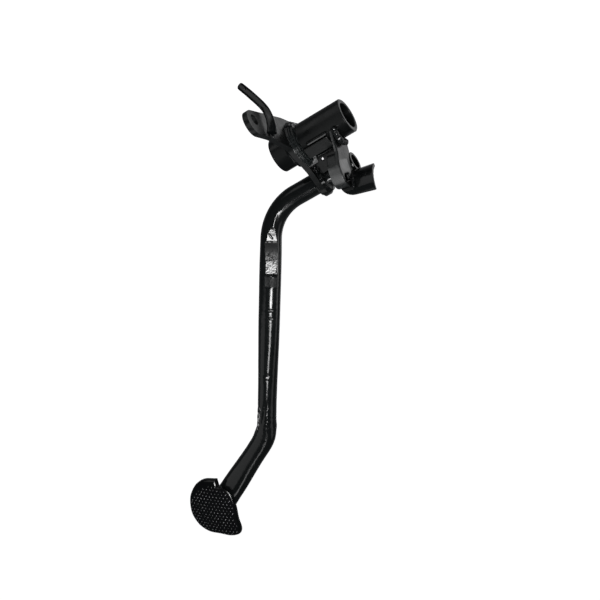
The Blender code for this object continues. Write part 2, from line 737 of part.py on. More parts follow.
def tie_beads():
    """Beads on the tie plate's upper face, along the arm, the lever plate and the pivot."""
    radius = TIE_BEAD_RADIUS
    y = TIE_CORNERS[-1][1] + GAP + radius
    reach = ARM_SECTIONS[0][1] / 2 + GAP * 1.3 + radius
    z = ARM_Z + math.sqrt(reach ** 2 - (y - ARM_Y) ** 2)
    bead("weld_tie_arm", [(x, y, z) for x in span(*TIE_ARM_BEAD_X, 10)], radius, PEDAL)
    x = LEVER_X - GAP - radius
    z = TIE_Z[1] + GAP + radius
    bead("weld_tie_lever", [(x, y, z) for y in span(*TIE_LEVER_BEAD_Y, 8)], radius, PEDAL)
    radius = TIE_PIVOT_BEAD_RADIUS
    z = TIE_Z[1] + GAP + radius
    y = math.sqrt((PIVOT_OD / 2 + GAP + radius) ** 2 - z ** 2)
    bead("weld_tie_pivot", [(x, y, z) for x in span(*TIE_PIVOT_BEAD_X, 10)], radius, PEDAL)


def hook_bead():
    """Bead under the hook's foot, on the lever plate's inboard face."""
    radius = HOOK_BEAD_RADIUS
    foot = Vector(HOOK_PATH[0][1:3])
    ahead = (Vector(HOOK_PATH[1][1:3]) - foot).normalized()
    below = Vector((-ahead.y, ahead.x))
    offset = HOOK_RADIUS * HOOK_PATH[0][3] + GAP + radius * 0.7
    run = []
    for along in span(0.3, HOOK_BEAD_LENGTH, 8):
        point = foot + ahead * along + below * offset
        run.append((LEVER_X - GAP - radius, point.x, point.y))
    bead("weld_hook", run, radius, PEDAL)


def pad_bead():
    """Bead across the front of the arm's end, under the pad."""
    radius = PAD_BEAD_RADIUS
    heading = arm_heading()
    ahead = Vector((math.cos(heading), math.sin(heading)))
    side = Vector((-ahead.y, ahead.x))
    middle = Vector(ARM_END) + ahead * (GAP + radius)
    z = PAD_TOP - PAD_SHEET - GAP - radius * 1.35
    reach = ARM_SECTIONS[-1][1] * 0.4
    run = [(*(middle + side * offset), z) for offset in span(-reach, reach, 9)]
    bead("weld_pad", run, radius, PEDAL)


reset_scene()
PARTS = new_collection("brake_pedal")
CUTTERS = new_collection("cutters")
PEDAL = new_frame("pedal_frame", (0.0, 0.0, -RIM_RADIUS), 0.0, None)
BRACKET = new_frame("bracket_frame", (BRACKET_X, BRACKET_Y, 0.0), -BRACKET_TOE, PEDAL)

pivot_tube()
lever_plate()
arm_tube()
foot_pad()
stop_bracket()
stop_saddle()
cross_gusset()
tie_plate()
spring_hook()
pivot_ring_beads()
arm_ring_beads()
bracket_pivot_bead()
bracket_arm_bead()
bracket_saddle_bead()
gusset_bead()
tie_beads()
hook_bead()
pad_bead()
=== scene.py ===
"""Looks of the rear brake pedal: fine meshes, paint, light and camera around the CAD frame.

Lengths in the tables are millimetres in the pedal's own frame, as in the CAD: x runs
outboard from the pivot tube's inboard end, y forward and z up from the pivot axis.
"""
import math
import random

import bmesh
import bpy
import numpy as np
from mathutils import Matrix, Vector, noise
from mathutils.geometry import delaunay_2d_cdt


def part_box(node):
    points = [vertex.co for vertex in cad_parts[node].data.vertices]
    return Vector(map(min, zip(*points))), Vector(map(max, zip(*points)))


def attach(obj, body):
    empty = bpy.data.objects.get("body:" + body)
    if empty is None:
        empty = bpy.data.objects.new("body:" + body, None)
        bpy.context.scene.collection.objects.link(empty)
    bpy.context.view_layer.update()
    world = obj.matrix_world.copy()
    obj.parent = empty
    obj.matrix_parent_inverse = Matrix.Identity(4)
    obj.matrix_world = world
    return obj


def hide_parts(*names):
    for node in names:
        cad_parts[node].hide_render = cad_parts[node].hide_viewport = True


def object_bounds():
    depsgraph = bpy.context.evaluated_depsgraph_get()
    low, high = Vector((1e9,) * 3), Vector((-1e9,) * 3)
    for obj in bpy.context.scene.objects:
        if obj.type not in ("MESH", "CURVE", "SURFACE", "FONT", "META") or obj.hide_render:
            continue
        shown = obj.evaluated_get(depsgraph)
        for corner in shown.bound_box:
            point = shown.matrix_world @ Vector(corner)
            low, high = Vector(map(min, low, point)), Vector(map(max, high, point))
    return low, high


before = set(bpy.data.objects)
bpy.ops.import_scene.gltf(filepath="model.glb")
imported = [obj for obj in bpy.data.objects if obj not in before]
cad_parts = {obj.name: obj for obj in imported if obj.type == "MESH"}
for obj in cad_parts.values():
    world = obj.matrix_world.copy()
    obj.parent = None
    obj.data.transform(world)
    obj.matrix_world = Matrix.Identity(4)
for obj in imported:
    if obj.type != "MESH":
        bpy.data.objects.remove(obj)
CAD_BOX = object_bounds()
MM = 0.001

tube_low, tube_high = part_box("pivot_tube")
PIVOT = Vector((tube_low.x, (tube_low.y + tube_high.y) / 2, (tube_low.z + tube_high.z) / 2))

# camera
TILT = math.radians(23.0)          # of the pivot axis out of the image plane
ROLL = math.radians(27.6)          # of the pivot axis below the image's horizontal
AIM = Vector((0.0836, 0.1007, 0.0237))
DISTANCE = 0.7492
LENS = 63.36

# arm tube
ARM_Y, ARM_Z = 30.0, -14.0
ARM_START_X = 15.0
ARM_WALL = 2.4
ARM_BENDS = ((90.5, ARM_Y, 40.0), (184.1, 183.5, 37.0))
ARM_END = (245.5, 216.4)
ARM_RISE = 1.5
ARM_SECTIONS = (                   # distance along, width in the bend plane, height
    (0.0, 16.0, 16.0), (75.0, 16.0, 16.0), (118.0, 17.3, 14.4), (150.0, 17.0, 15.0),
    (226.0, 14.4, 17.2), (240.0, 14.8, 17.0), (252.0, 17.4, 15.2), (268.0, 17.2, 15.0),
    (306.0, 19.6, 13.2), (322.0, 20.4, 12.8),
)
ARM_SEGMENTS = 120
ARM_STEP = 1.1
GRIP_STEP = 0.4                    # finer rings where the surface is crinkled
GRIP_SPAN = (100, 230)             # distances along between which the rings are finer
GRIP_FACING = 112.0                # degrees round the tube that the gripped flat faces
GRIP_ANGLE = math.radians(GRIP_FACING)
GRIP_LIP = 95.0
GRIP_END = 121.8                   # distance along at which the deep flat steps up again
SHALLOW_FLAT = (122.0, 131.0)      # the shallow flat that follows it
DENTS = (                          # distance along, degrees round, depth, length
    (148.6, 114.0, 0.50, 0.9), (155.0, 110.0, 0.42, 0.8),
    (200.5, 108.0, 0.50, 1.5), (204.0, 116.0, 0.34, 1.6),
)
CREASES = (                        # distance along, degrees round, depth, slant
    (228.0, 50.0, 0.45, 0.05), (233.5, 38.0, 0.38, 0.06),
    (239.5, 45.0, 0.30, 0.05), (243.5, 30.0, 0.22, 0.02),
)

# foot pad
PAD_CENTRE = (250.75, 217.2)
PAD_DROP = 3.6                     # fall of the dome from its crown to PAD_REACH
PAD_REACH = 26.0
PAD_SHEET = 2.0
PAD_EDGE = 2.6                     # radius of the turned-down edge
PAD_RIM_BOTTOM = -8.0
PAD_OUTLINE = (                    # x, y from the centre, and whether it is a sharp corner
    (-12.8, -20.4, True), (0.4, -24.6, False), (11.8, -20.4, False),
    (19.8, -9.5, False), (21.4, 2.0, False), (16.5, 13.8, False), (7.0, 20.8, False),
    (-5.0, 27.6, False), (-9.2, 27.0, False), (-14.4, 15.0, False),
    (-18.8, 0.0, False), (-18.2, -8.5, False), (-12.2, -14.8, True),
)
STUD_PITCH = 3.05
STUD_ROWS = math.radians(-29.6)    # direction of the rows in plan
STUD_RADIUS = 1.0
STUD_HEIGHT = 0.62
STUD_SEED = 7
STUD_RINGS = ((0.42, 7), (0.72, 10), (1.0, 12), (1.35, 12))    # share of radius, points
EDGE_INSETS = (0.25, 0.7, 1.4, 2.2)

# spring hook: x, y, z, width across the strip, thickness
HOOK_PATH = (
    (38.9, -9.0, 49.4, 7.0, 3.4), (38.2, -14.0, 45.0, 6.4, 3.2), (38.3, -21.5, 40.6, 5.6, 3.0),
    (39.0, -28.8, 39.8, 5.4, 3.0), (41.0, -38.5, 44.6, 5.4, 3.0), (43.2, -46.6, 49.2, 5.2, 2.8),
    (43.9, -48.6, 50.3, 5.0, 2.8),
)
HOOK_FACE = (-0.5, 0.0, 0.87)      # way the strip's broad face looks
HOOK_HOLE = (42.6, -44.5, 48.0)
HOOK_HOLE_RADIUS = 0.9
HOOK_DRILL = (-0.8, 0.0, 0.6)

LEVER_X, LEVER_THICKNESS = 42.5, 4.0
BRACKET_X, BRACKET_Y = 12.0, 6.0
BRACKET_SHEET = 2.6
BRACKET_TOE = math.radians(9.8)
GAP = 0.3
PIVOT_OUTER, ARM_OUTER = 13.0, 8.0         # radii of the tubes the ring welds run round
RING_WELDS = (                     # name, leg along the tube, spread on the plate, ridges
    ("lever_inboard", 5.0, 4.4, 3), ("lever_outboard", 3.0, 2.6, 2),
    ("arm_inboard", 3.6, 2.8, 2), ("arm_outboard", 2.6, 2.3, 2),
)
PIVOT_BEAD_RADIUS = 2.3
THIN_BEAD_RADIUS = 1.4
GUSSET_BEAD_RADIUS = 1.2
GUSSET_BEAD_ANGLE = math.radians(69.5)
TIE_BEAD_RADIUS = 1.3
TIE_PIVOT_BEAD_RADIUS = 1.1
HOOK_BEAD_RADIUS = 1.2
PAD_BEAD_RADIUS = 1.3
PIVOT_BEAD_ARC = (15.6, -14, 74)   # arc's radius, and its start and end in degrees
ARM_BEAD_ARC = (9.7, 78, 98)
SADDLE_BEAD_ARC = (20.9, 108, 130)
SADDLE_CENTRE = (48.8, -8.9)
GUSSET_BEAD_REACH = 14.45          # of the bead's middle from the pivot axis
GUSSET_BEAD_UP = Vector((0.0, 0.53, 0.85))
TIE_ARM_BEAD_Y, TIE_ARM_BEAD_REACH = 28.6, 9.69
TIE_PIVOT_BEAD_Z, TIE_PIVOT_BEAD_REACH = -2.3, 14.4
EDGES = {"lever_plate": 0.5}
STAYING = ("cross_gusset", "lever_plate", "pivot_tube", "stop_bracket", "stop_saddle", "tie_plate")
PRESSED = ("lever_plate", "stop_bracket", "cross_gusset", "tie_plate")
SOFTENED = {                       # grid size in mm and rounds of smoothing
    "stop_bracket": (0.35, 14), "stop_saddle": (0.4, 6), "cross_gusset": (0.3, 6),
    "tie_plate": (0.3, 4),
}
PLAIN_EDGE = 0.3
# grey painted on the pad's stud tops as a painted highlight on each stud
PAINTED_HIGHLIGHT_GREY = (0.05, 0.051, 0.053, 1.0)


def at(x, y, z):
    """World place of a point in the pedal's frame."""
    return PIVOT + Vector((x, y, z)) * MM


def smooth(t):
    t = min(1.0, max(0.0, t))
    return t * t * (3 - 2 * t)


def window(value, low, high, edge):
    """1 inside low..high, falling to 0 over edge on both sides."""
    return smooth((value - low) / edge) * smooth((high - value) / edge)


def hill(value, middle, width):
    return math.exp(-((value - middle) / width) ** 2)


def grain(point, size, seed=0.0):
    """Noise between -1 and 1 with features of the given size in millimetres."""
    return noise.noise(point / size + Vector((seed, seed * 0.7, -seed)))


def new_piece(name, bm_or_mesh, materials, nodes):
    """Link a finished mesh, ride it on the body and let it stand for its CAD nodes."""
    if isinstance(bm_or_mesh, bmesh.types.BMesh):
        mesh = bpy.data.meshes.new(name)
        bm_or_mesh.to_mesh(mesh)
        bm_or_mesh.free()
    else:
        mesh = bm_or_mesh
    mesh.name = name
    for material in materials:
        mesh.materials.append(material)
    obj = bpy.data.objects.new(name, mesh)
    bpy.context.scene.collection.objects.link(obj)
    mesh.shade_smooth()
    mesh.set_sharp_from_angle(angle=math.radians(42))
    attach(obj, "root")
    if nodes:
        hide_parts(*nodes)
    return obj


# ---------------------------------------------------------------- materials

class Nodes:
    """Short hand for wiring one material's nodes."""

    def __init__(self, name):
        self.material = bpy.data.materials.new(name)
        self.material.use_nodes = True
        self.tree = self.material.node_tree
        self.shader = self.tree.nodes["Principled BSDF"]
        self.place = self.add("ShaderNodeTexCoord").outputs["Object"]

    def add(self, kind, **inputs):
        node = self.tree.nodes.new(kind)
        for key, value in inputs.items():
            self.put(node.inputs[key.replace("_", " ")], value)
        return node

    def put(self, socket, value):
        if isinstance(value, bpy.types.NodeSocket):
            self.tree.links.new(value, socket)
        else:
            socket.default_value = value

    def noise(self, size, detail=3.0, roughness=0.5, stretch=None):
        """Noise whose features are size metres across, from 0 to 1."""
        place = self.place
        if stretch:
            mapping = self.add("ShaderNodeMapping", Vector=place, Scale=stretch)
            place = mapping.outputs["Vector"]
        node = self.add("ShaderNodeTexNoise", Vector=place, Scale=1.0 / size, Detail=detail,
                        Roughness=roughness)
        return node.outputs["Fac"]

    def ramp(self, value, low, high, to_low=0.0, to_high=1.0):
        node = self.add("ShaderNodeMapRange")
        self.put(node.inputs["Value"], value)
        for key, number in (("From Min", low), ("From Max", high),
                            ("To Min", to_low), ("To Max", to_high)):
            node.inputs[key].default_value = number
        return node.outputs["Result"]

    def math(self, operation, a, b):
        node = self.add("ShaderNodeMath")
        node.operation = operation
        self.put(node.inputs[0], a)
        self.put(node.inputs[1], b)
        return node.outputs["Value"]

    def mix(self, factor, a, b):
        node = self.add("ShaderNodeMix")
        node.data_type = "RGBA"
        self.put(node.inputs["Factor"], factor)
        self.put(node.inputs["A"], a)
        self.put(node.inputs["B"], b)
        return node.outputs["Result"]

    def bump(self, height, strength, distance, below=None):
        node = self.add("ShaderNodeBump")
        node.inputs["Strength"].default_value = strength
        node.inputs["Distance"].default_value = distance
        self.put(node.inputs["Height"], height)
        if below is not None:
            self.put(node.inputs["Normal"], below)
        return node.outputs["Normal"]

    def edge(self, radius):
        """1 along convex and concave edges narrower than radius, 0 on flat stretches."""
        bevel = self.add("ShaderNodeBevel", Radius=radius)
        bevel.samples = 6
        plain = self.add("ShaderNodeNewGeometry").outputs["Normal"]
        dot = self.add("ShaderNodeVectorMath")
        dot.operation = "DOT_PRODUCT"
        self.put(dot.inputs[0], bevel.outputs["Normal"])
        self.put(dot.inputs[1], plain)
        return self.ramp(dot.outputs["Value"], 0.98, 0.75)


def black_paint(name, roughness=0.13, wave=0.5, dust=0.5, wear=0.35):
    """Gloss black enamel over steel: orange peel, slow waves, dust and thin edges."""
    n = Nodes(name)
    cloud = n.noise(0.012, detail=4.0)
    fine = n.noise(0.0009, detail=2.0)
    specks = n.ramp(n.noise(0.0011, detail=0.0), 0.71, 0.76)
    deep = (0.0052, 0.0062, 0.0062, 1.0)
    pale = (0.0095, 0.0108, 0.011, 1.0)
    colour = n.mix(cloud, deep, pale)
    edge = n.math("MULTIPLY", n.edge(0.0006), n.ramp(n.noise(0.004, detail=5.0), 0.45, 0.7))
    colour = n.mix(n.math("MULTIPLY", edge, wear), colour, (0.055, 0.056, 0.058, 1.0))
    colour = n.mix(n.math("MULTIPLY", specks, 0.03 * dust), colour, (0.2, 0.2, 0.2, 1.0))
    rough = n.ramp(cloud, 0.3, 0.7, roughness * 0.75, roughness * 1.35)
    rough = n.math("ADD", rough, n.math("MULTIPLY", specks, 0.08 * dust))
    rough = n.math("ADD", rough, n.math("MULTIPLY", edge, 0.2))
    n.put(n.shader.inputs["Base Color"], colour)
    n.put(n.shader.inputs["Roughness"], rough)
    n.shader.inputs["IOR"].default_value = 1.5
    slow = n.bump(n.noise(0.009, detail=2.0), 0.5 * wave, 0.0006)
    peel = n.bump(n.noise(0.0016, detail=2.0), 0.16, 0.0003, slow)
    n.put(n.shader.inputs["Normal"], n.bump(fine, 0.05, 0.0002, peel))
    return n.material


def arm_paint(name):
    """Enamel that is rough and dull where the bending die marked the tube."""
    material = black_paint(name, roughness=0.15)
    tree = material.node_tree
    shader = tree.nodes["Principled BSDF"]
    wear_and_painted_highlight = tree.nodes.new("ShaderNodeAttribute")
    wear_and_painted_highlight.attribute_name = "wear_and_painted_highlight"
    scaled = tree.nodes.new("ShaderNodeMath")
    scaled.operation = "MULTIPLY_ADD"
    tree.links.new(wear_and_painted_highlight.outputs["Fac"], scaled.inputs[0])
    scaled.inputs[1].default_value = 0.34
    tree.links.new(shader.inputs["Roughness"].links[0].from_socket, scaled.inputs[2])
    tree.links.new(scaled.outputs["Value"], shader.inputs["Roughness"])
    return material


def weld_paint(name):
    """The same enamel pooled over weld metal, rougher between the ripples."""
    return black_paint(name, roughness=0.16, wave=0.8, dust=0.8, wear=0.8)


def pad_paint(name):
    """Enamel on the pad: stud tops painted pale as painted highlights, near black between them."""
    n = Nodes(name)
    cloud = n.noise(0.008, detail=4.0)
    grit = n.noise(0.0006, detail=3.0)
    colour = n.mix(cloud, (0.0010, 0.0012, 0.0013, 1.0), (0.0026, 0.0028, 0.0030, 1.0))
    wear_and_painted_highlight = n.tree.nodes.new("ShaderNodeAttribute")
    wear_and_painted_highlight.attribute_name = "wear_and_painted_highlight"
    # stud tops painted pale: a painted highlight of the lamp on each stud
    colour = n.mix(wear_and_painted_highlight.outputs["Fac"], colour, PAINTED_HIGHLIGHT_GREY)
    n.put(n.shader.inputs["Base Color"], colour)
    n.put(n.shader.inputs["Roughness"], n.ramp(grit, 0.3, 0.7, 0.10, 0.24))
    n.shader.inputs["Specular IOR Level"].default_value = 0.5
    slow = n.bump(n.noise(0.005, detail=2.0), 0.3, 0.0005)
    n.put(n.shader.inputs["Normal"], n.bump(grit, 0.25, 0.00015, slow))
    return n.material


# ---------------------------------------------------------------- arm tube

def fillet(before, corner, after, radius, step=math.radians(2.5)):
    """Points of the arc that rounds one corner of a path in plan."""
    corner = Vector(corner)
    toward_before = (Vector(before) - corner).normalized()
    toward_after = (Vector(after) - corner).normalized()
    opening = toward_before.angle(toward_after)
    reach = radius / math.tan(opening / 2)
    centre = corner + (toward_before + toward_after).normalized() * radius / math.sin(opening / 2)
    first = corner + toward_before * reach - centre
    last = corner + toward_after * reach - centre
    turn = first.angle_signed(last)
    count = math.ceil(abs(turn) / step)
    angle = math.atan2(first.y, first.x)
    return [centre + Vector((math.cos(angle - turn * i / count),
                             math.sin(angle - turn * i / count))) * radius
            for i in range(count + 1)]


def arm_path():
    """Middle of the arm in plan, as (point, distance along) pairs at even steps."""
    start = (ARM_START_X, ARM_Y)
    one, two = ARM_BENDS
    corners = [Vector(start), *fillet(start, one[:2], two[:2], one[2]),
               *fillet(one[:2], two[:2], ARM_END, two[2]), Vector(ARM_END)]
    path = [(corners[0], 0.0)]
    for corner in corners[1:]:
        last, distance = path[-1]
        run = corner - last
        fine = run.length < 5 or GRIP_SPAN[0] < distance + run.length / 2 < GRIP_SPAN[1]
        count = max(1, round(run.length / (GRIP_STEP if fine else ARM_STEP)))
        path += [(last + run * (i + 1) / count, distance + run.length * (i + 1) / count)
                 for i in range(count)]
    return path


def arm_section(distance):
    for (d0, w0, h0), (d1, w1, h1) in zip(ARM_SECTIONS, ARM_SECTIONS[1:]):
        if distance <= d1:
            t = smooth((distance - d0) / (d1 - d0))
            return w0 + (w1 - w0) * t, h0 + (h1 - h0) * t
    return ARM_SECTIONS[-1][1:]


def arm_relief(s, degrees, point):
    """Outward relief of the arm's skin in millimetres: bender marks, wrinkles and dents."""
    relief = 0.05 * grain(point, 11.0) + 0.02 * grain(point, 3.0, 5.0)
    # crinkles on the flat where the bending die gripped
    across = window(degrees, GRIP_FACING - 34.0, GRIP_FACING + 34.0, 4.0)
    crinkle = grain(point, 1.5, 2.0) + 0.6 * grain(point, 0.8, 8.0)
    deep = 0.26 - 0.18 * smooth((s - 109.5) / 3.0)
    relief += across * window(s, 95.2, 121.0, 0.5) * (deep * crinkle - 0.10)
    relief += 0.24 * across * window(s, *SHALLOW_FLAT, 1.5) * crinkle
    # crease across the ramp that leads down to the gripped flat
    relief -= 0.24 * hill(degrees, 96.0 + 5.5 * (s - 89.5), 5.0) * window(s, 89.0, 93.6, 0.8)
    # shallow crest that runs out of the first bend and swings across the tube
    crest = 104.0 + 8.0 * math.sin((s - 76.0) / 6.5)
    relief += 0.30 * hill(degrees, crest, 9.0) * window(s, 66.0, 86.0, 7.0)
    # small transverse dents on the straight run
    for place, angle, depth, length in DENTS:
        relief -= depth * hill(s, place, length) * hill(degrees, angle, 22.0)
    # creases on the inner side of the second bend
    for place, angle, depth, slope in CREASES:
        centre = place + slope * (degrees - angle)
        relief -= depth * hill(s, centre, 1.1) * hill(degrees, angle, 24.0)
        relief += 0.5 * depth * hill(s, centre + 2.4, 1.5) * hill(degrees, angle, 22.0)
    relief += 0.40 * hill(s, 242.0, 3.0) * hill(degrees, 198.0, 20.0)
    groove = 102.0 - 1.2 * (s - 224.0)
    relief -= 0.55 * hill(degrees, groove, 11.0) * window(s, 219.0, 244.0, 7.0)
    relief += 0.10 * window(s, 224.0, 262.0, 8.0) * grain(point, 1.4, 4.0)
    broken = hill(degrees, 110.0, 22.0) * window(s, 224.0, 244.0, 3.0)
    relief += 0.24 * broken * grain(point, 1.5, 9.0)
    return relief


def grip_depth(s):
    """Depth of the flat: a ramp to the lip, a deep part with a sharp end, then a shallow part."""
    if s < GRIP_LIP:
        return max(0.0, 0.098 * (s - 83.0))
    return max(1.30 * smooth((GRIP_END - s) / 1.2), 0.38 * window(s, 121.0, 131.2, 0.8))


def grip_turn(s):
    """Way the flat faces round the tube: it turns a little past the lip and after the deep part."""
    edge = 1.0 if s < 100 else 6.0
    return GRIP_ANGLE - math.radians(3.0 * window(s, 95.2, 107.5, edge)
                                     + 15.0 * smooth((s - GRIP_END) / 0.6))


def grip_wear(s, degrees):
    """How rough the paint is where the bending die marked it."""
    across = window(degrees, GRIP_FACING - 38.0, GRIP_FACING + 38.0, 5.0)
    deep = window(s, 95.4, 111.5, 1.5) * (1.9 - 1.6 * smooth((s - 97.0) / 13.0))
    return across * (deep + 1.2 * window(s, *SHALLOW_FLAT, 1.5))


def arm_piece(paint):
    path = arm_path()
    bm = bmesh.new()
    wear_and_painted_highlight = bm.verts.layers.float.new("wear_and_painted_highlight")
    outer, inner = [], []
    for i, (point, s) in enumerate(path):
        ahead = (path[min(i + 1, len(path) - 1)][0] - path[max(i - 1, 0)][0]).normalized()
        side = Vector((ahead.y, -ahead.x, 0.0))
        along = max(0.0, (point.x - ARM_BENDS[-1][0]) / (ARM_END[0] - ARM_BENDS[-1][0]))
        middle = Vector((point.x, point.y, ARM_Z + ARM_RISE * along ** 1.5))
        width, height = arm_section(s)
        for rings, wall in ((outer, 0.0), (inner, ARM_WALL)):
            ring = []
            for k in range(ARM_SEGMENTS):
                a = math.tau * k / ARM_SEGMENTS
                out = side * math.cos(a) + Vector((0, 0, math.sin(a)))
                place = middle + side * (width / 2 - wall) * math.cos(a)
                place.z += (height / 2 - wall) * math.sin(a)
                if not wall:
                    turn = grip_turn(s)
                    facing = Vector((math.cos(turn), math.sin(turn)))
                    crown = math.hypot(width / 2 * facing.x, height / 2 * facing.y)
                    reach = (width / 2 * math.cos(a) * facing.x
                             + height / 2 * math.sin(a) * facing.y)
                    shave = max(0.0, reach - (crown - grip_depth(s)))
                    place -= (side * facing.x + Vector((0, 0, facing.y))) * shave
                    end = min(s, path[-1][1] - s)
                    place += out * (arm_relief(s, math.degrees(a), place) - 0.5 * hill(end, 0, 0.5))
                vert = bm.verts.new(at(*place))
                vert[wear_and_painted_highlight] = grip_wear(s, math.degrees(a))
                ring.append(vert)
            rings.append(ring)
    pairs = [*zip(outer, outer[1:]), *zip(inner, inner[1:]), (outer[0], inner[0]),
             (outer[-1], inner[-1])]
    for one, two in pairs:
        for k in range(ARM_SEGMENTS):
            n = (k + 1) % ARM_SEGMENTS
            bm.faces.new((one[k], one[n], two[n], two[k]))
    bmesh.ops.recalc_face_normals(bm, faces=bm.faces)
    return new_piece("arm_tube_skin", bm, [paint], ["arm_tube"])


# ---------------------------------------------------------------- foot pad

def pad_outline():
    """The pad's edge as points in plan around its centre, sampled from a Bezier curve."""
    curve = bpy.data.curves.new("outline", "CURVE")
    curve.dimensions = "2D"
    curve.fill_mode = "NONE"
    curve.resolution_u = 14
    spline = curve.splines.new("BEZIER")
    spline.bezier_points.add(len(PAD_OUTLINE) - 1)
    spline.use_cyclic_u = True
    for point, (x, y, sharp) in zip(spline.bezier_points, PAD_OUTLINE):
        point.co = (x, y, 0.0)
        point.handle_left_type = point.handle_right_type = "VECTOR" if sharp else "AUTO"
    obj = bpy.data.objects.new("outline", curve)
    bpy.context.scene.collection.objects.link(obj)
    bpy.context.view_layer.update()
    mesh = bpy.data.meshes.new_from_object(obj.evaluated_get(bpy.context.evaluated_depsgraph_get()))
    corners = [v.co.xy.copy() for v in mesh.vertices]
    bpy.data.objects.remove(obj)
    bpy.data.meshes.remove(mesh)
    points = []
    for one, two in zip(corners, corners[1:] + corners[:1]):
        count = max(1, round((two - one).length / 0.7))
        points += [one.lerp(two, i / count) for i in range(count)]
    return points


def edge_distance(points, edges):
    """Distance from each point to the nearest stretch of the outline."""
    p = np.array(points)[:, None, :]
    a = np.array(edges)[None, :, :]
    b = np.roll(a, -1, axis=1)
    along = np.clip(((p - a) * (b - a)).sum(2) / ((b - a) ** 2).sum(2).clip(1e-9), 0, 1)
    return np.sqrt(((p - a - along[..., None] * (b - a)) ** 2).sum(2)).min(1)


def inside(points, edges):
    p = np.array(points)[:, None, :]
    a = np.array(edges)[None, :, :]
    b = np.roll(a, -1, axis=1)
    cross = (a[..., 1] > p[..., 1]) != (b[..., 1] > p[..., 1])
    run = (b[..., 0] - a[..., 0]) * (p[..., 1] - a[..., 1])
    at_x = a[..., 0] + run / np.where(b[..., 1] == a[..., 1], 1e-9, b[..., 1] - a[..., 1])
    return (cross & (p[..., 0] < at_x)).sum(1) % 2 == 1


def stud_middles(outline):
    """Hexagonal rows of studs that keep clear of the turned-down edge."""
    along = Vector((math.cos(STUD_ROWS), math.sin(STUD_ROWS)))
    across = Vector((-along.y, along.x))
    middles = []
    for row in range(-12, 13):
        for step in range(-11, 12):
            shift = step + 0.5 * (row % 2)
            middles.append(along * shift * STUD_PITCH + across * row * STUD_PITCH * 0.84)
    clear = inside(middles, outline) & (edge_distance(middles, outline) > STUD_RADIUS + 0.55)
    rear = np.array([m.y for m in middles]) > -19.4 + 0.02 * np.array([m.x for m in middles]) ** 2
    return [m for m, keep in zip(middles, clear & rear) if keep]


def open_share(point):
    """1 along the inboard side, where the arm comes in and the rim is left off."""
    inboard = smooth((-point.x - 7.5) / 3.5)
    return inboard * smooth((point.y + 14.0) / 2.5) * smooth((5.5 - point.y) / 2.5)


def pad_piece(paint):
    outline = pad_outline()
    points = list(outline)
    for inset in EDGE_INSETS:
        for i, point in enumerate(outline):
            way = (outline[(i + 1) % len(outline)] - outline[i - 1]).normalized()
            points.append(point + Vector((way.y, -way.x)) * -inset)
    rng = random.Random(STUD_SEED)
    studs = []
    for middle in stud_middles(outline):
        wobble = Vector((rng.uniform(-0.12, 0.12), rng.uniform(-0.12, 0.12)))
        studs.append((middle + wobble, rng.uniform(0.8, 1.12)))
    for middle, size in studs:
        points.append(middle)
        for radius, count in STUD_RINGS:
            for k in range(count):
                a = math.tau * (k + 0.5 * (count % 3)) / count
                reach = STUD_RADIUS * size * radius
                points.append(middle + Vector((math.cos(a), math.sin(a))) * reach)
    keep = inside(points, outline) & (edge_distance(points, outline) > 0.12)
    ring = len(outline)
    chosen = outline + [p for p, ok in zip(points[ring:], keep[ring:]) if ok]
    border = [(i, (i + 1) % ring) for i in range(ring)]
    flat, _, faces, origins, _, _ = delaunay_2d_cdt(chosen, border, [], 1, 0.05)
    away = edge_distance(flat, outline)
    centres = np.array([m for m, _ in studs])
    sizes = np.array([size for _, size in studs])
    bm = bmesh.new()
    wear_and_painted_highlight = bm.verts.layers.float.new("wear_and_painted_highlight")
    top = []
    for point, distance in zip(flat, away):
        z = -PAD_DROP * (point.length / PAD_REACH) ** 2
        edge = PAD_EDGE * (1 - 0.96 * open_share(point))
        roll = min(1.0, distance / edge)
        z -= edge * (1 - math.sqrt(max(0.0, 1 - (1 - roll) ** 2)))
        gaps = np.hypot(*(centres - np.array(point)).T) / sizes / STUD_RADIUS
        near = gaps.min()
        if near < 1:
            z += STUD_HEIGHT * sizes[gaps.argmin()] * (1 - near ** 2.4)
        z += 0.10 * grain(Vector((*point, 0.0)), 9.0) + 0.03 * grain(Vector((*point, 0.0)), 1.4)
        top.append(bm.verts.new(at(PAD_CENTRE[0] + point.x, PAD_CENTRE[1] + point.y, z)))
        # strength of each stud's painted highlight, varied at random from stud to stud
        painted_highlight_level = 0.55 + 0.9 * grain(Vector((*centres[gaps.argmin()], 4.0)), 2.2)
        top[-1][wear_and_painted_highlight] = max(0.12, min(1.0, painted_highlight_level)) * smooth((0.75 - near) / 0.6)
    for face in faces:
        bm.faces.new([top[i] for i in face])
    bm.verts.index_update()
    loop = [e for e in bm.edges if e.is_boundary]
    turned = PAD_RIM_BOTTOM + PAD_DROP + PAD_EDGE
    for _ in range(3):
        made = bmesh.ops.extrude_edge_only(bm, edges=loop)["geom"]
        for vert in (g for g in made if isinstance(g, bmesh.types.BMVert)):
            plan = Vector(((vert.co.x - PIVOT.x) / MM - PAD_CENTRE[0],
                           (vert.co.y - PIVOT.y) / MM - PAD_CENTRE[1]))
            vert.co.z += (turned * (1 - open_share(plan)) - 0.15) / 3 * MM
        loop = [g for g in made if isinstance(g, bmesh.types.BMEdge) and g.is_boundary
                and len(g.link_faces) == 1]
    bmesh.ops.recalc_face_normals(bm, faces=bm.faces)
    if sum(f.normal.z for f in bm.faces) < 0:
        bmesh.ops.reverse_faces(bm, faces=bm.faces)
    pad_obj = new_piece("foot_pad_shell", bm, [paint], ["foot_pad"])
    shell = pad_obj.modifiers.new("sheet", "SOLIDIFY")
    shell.thickness = PAD_SHEET * MM
    shell.offset = -1.0
    pad_obj.modifiers.new("sharp", "EDGE_SPLIT").split_angle = math.radians(58)
    return pad_obj


# ---------------------------------------------------------------- spring hook

